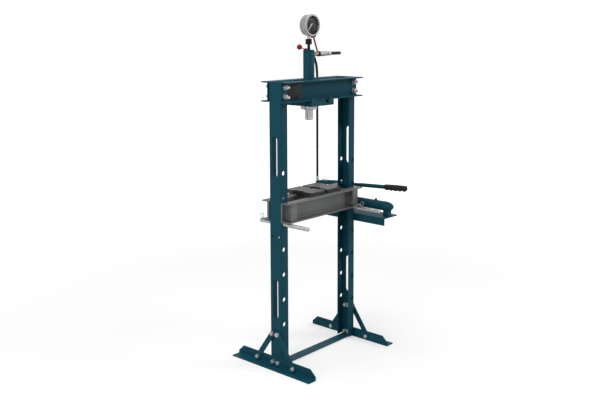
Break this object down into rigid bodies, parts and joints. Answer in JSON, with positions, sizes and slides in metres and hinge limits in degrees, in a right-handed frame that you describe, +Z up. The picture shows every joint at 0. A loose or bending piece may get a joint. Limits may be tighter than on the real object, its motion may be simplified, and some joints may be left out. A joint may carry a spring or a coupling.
{
  "type": "hydraulic shop press",
  "caption": "Floor-standing shop press: twin-channel head and height-adjustable bed on two uprights, a hydraulic cylinder with gauge, fed by a separate hand pump on a side shelf.",
  "frame": {"origin": "on the floor, under the middle of the whole press with its pump and lever", "axes": "+X from the left upright to the right one, which carries the pump; -Y is the front, where the gauge faces and the lever's grip is; +Z up"},
  "size_m": [0.7526, 0.6328, 1.755],
  "materials": {
    "blue_paint": "semi-gloss dark teal blue paint over steel",
    "raw_steel": "grey mill finish, oiled",
    "ground_steel": "dark ground plate, glossy with oil",
    "zinc": "zinc plated",
    "chrome": "hard chrome, polished",
    "brass": "dull brass",
    "rubber": "black rubber",
    "black_steel": "black oxide and black paint",
    "red_paint": "gloss red",
    "glass": "clear",
    "polymer": "pale polymer"
  },
  "bodies": {
    "frame": {"upright_left": "blue_paint", "upright_right": "blue_paint", "foot_left": "blue_paint", "foot_right": "blue_paint", "strut_left_front": "blue_paint", "strut_left_rear": "blue_paint", "strut_right_front": "blue_paint", "strut_right_rear": "blue_paint", "tie_bar": "blue_paint", "head_channel_front": "blue_paint", "head_channel_rear": "blue_paint", "head_rod_left_lower": "zinc", "head_rod_left_upper": "zinc", "head_rod_right_lower": "zinc", "head_rod_right_upper": "zinc", "strut_bolts_left": "zinc", "strut_bolts_right": "zinc", "tie_bolts_left": "zinc", "tie_bolts_right": "zinc", "foot_bolt_left_front": "zinc", "foot_bolt_left_rear": "zinc", "foot_bolt_right_front": "zinc", "foot_bolt_right_rear": "zinc", "carriage": "blue_paint", "cylinder_body": "blue_paint", "ring_nut": "zinc", "cylinder_cap": "blue_paint", "gauge_case": "zinc", "gauge_dial": "black_steel", "gauge_glass": "glass", "gauge_adapter": "black_steel", "return_spring": "black_steel", "valve_body": "brass", "hose": "rubber", "hose_fitting_cylinder": "black_steel", "hose_fitting_pump": "zinc", "pump_shelf": "blue_paint", "pump_tank": "blue_paint", "pump_head": "blue_paint"},
    "ram": {"ram": "chrome", "ram_seal": "polymer"},
    "needle": {"gauge_needle": "polymer"},
    "valve_handle": {"valve_handle": "zinc", "valve_grip": "rubber"},
    "t_lever": {"t_lever": "red_paint"},
    "ball_lever": {"ball_lever": "red_paint"},
    "pump_lever": {"lever_yoke": "blue_paint", "pump_lever": "blue_paint", "lever_grip": "rubber"},
    "plunger": {"pump_plunger": "chrome"},
    "release_knob": {"release_knob": "black_steel"},
    "filler_cap": {"filler_cap": "black_steel"},
    "bed": {"bed_channel_front": "raw_steel", "bed_channel_rear": "raw_steel"},
    "plate_left": {"arbor_plate_left": "ground_steel"},
    "plate_right": {"arbor_plate_right": "ground_steel"},
    "pin_left": {"bed_pin_left": "zinc"},
    "pin_right": {"bed_pin_right": "zinc"},
    "clip_left": {"ring_clip_left": "zinc"},
    "clip_right": {"ring_clip_right": "zinc"}
  },
  "joints": [
    {"name": "ram_stroke", "type": "slide", "parent": "frame", "child": "ram", "axis": [0, 0, -1], "range_m": [0, 0.15], "deforming": ["return_spring"]},
    {"name": "needle_turn", "type": "hinge", "parent": "frame", "child": "needle", "pos_m": [-0.071, 0.01936, 1.7], "axis": [0, 1, 0], "range_deg": [0, 266]},
    {"name": "valve_handle_turn", "type": "hinge", "parent": "frame", "child": "valve_handle", "pos_m": [-0.071, 0.01936, 1.556], "axis": [1, 0, 0], "range_deg": [-180, 180]},
    {"name": "t_lever_turn", "type": "hinge", "parent": "frame", "child": "t_lever", "pos_m": [-0.071, 0.01936, 1.556], "axis": [-1, 0, 0], "range_deg": [-45, 90]},
    {"name": "ball_lever_turn", "type": "hinge", "parent": "frame", "child": "ball_lever", "pos_m": [-0.094, 0.01936, 1.58], "axis": [0, 0, 1], "range_deg": [-60, 60]},
    {"name": "pump_lever_swing", "type": "hinge", "parent": "frame", "child": "pump_lever", "pos_m": [0.316, 0.26436, 0.822], "axis": [-1, 0, 0], "range_deg": [-4, 42]},
    {"name": "plunger_stroke", "type": "slide", "parent": "frame", "child": "plunger", "axis": [0, 0, 1], "range_m": [-0.0022, 0.0216]},
    {"name": "release_knob_turn", "type": "hinge", "parent": "frame", "child": "release_knob", "pos_m": [0.344, 0.17936, 0.728], "axis": [1, 0, 0], "range_deg": [0, 180]},
    {"name": "filler_cap_turn", "type": "hinge", "parent": "frame", "child": "filler_cap", "pos_m": [0.316, -0.11814, 0.769], "axis": [0, 0, 1], "range_deg": [0, 360]},
    {"name": "bed_lift", "type": "slide", "parent": "frame", "child": "bed", "axis": [0, 0, 1], "range_m": [0, 0.139]},
    {"name": "plate_left_slide", "type": "slide", "parent": "bed", "child": "plate_left", "axis": [-1, 0, 0], "range_m": [0, 0.11]},
    {"name": "plate_right_slide", "type": "slide", "parent": "bed", "child": "plate_right", "axis": [1, 0, 0], "range_m": [0, 0.08]},
    {"name": "pin_left_slide", "type": "slide", "parent": "frame", "child": "pin_left", "axis": [0, 1, 0], "range_m": [-0.005, 0.165]},
    {"name": "pin_right_slide", "type": "slide", "parent": "frame", "child": "pin_right", "axis": [0, -1, 0], "range_m": [-0.0015, 0.14]},
    {"name": "clip_left_lift", "type": "slide", "parent": "pin_left", "child": "clip_left", "axis": [0, 0, 1], "range_m": [0, 0.05]},
    {"name": "clip_right_lift", "type": "slide", "parent": "pin_right", "child": "clip_right", "axis": [0, 0, 1], "range_m": [0, 0.05]}
  ],
  "couplings": [
    {"joint": "plunger_stroke", "follows": "pump_lever_swing", "m_per_rad": 0.0292}
  ]
}
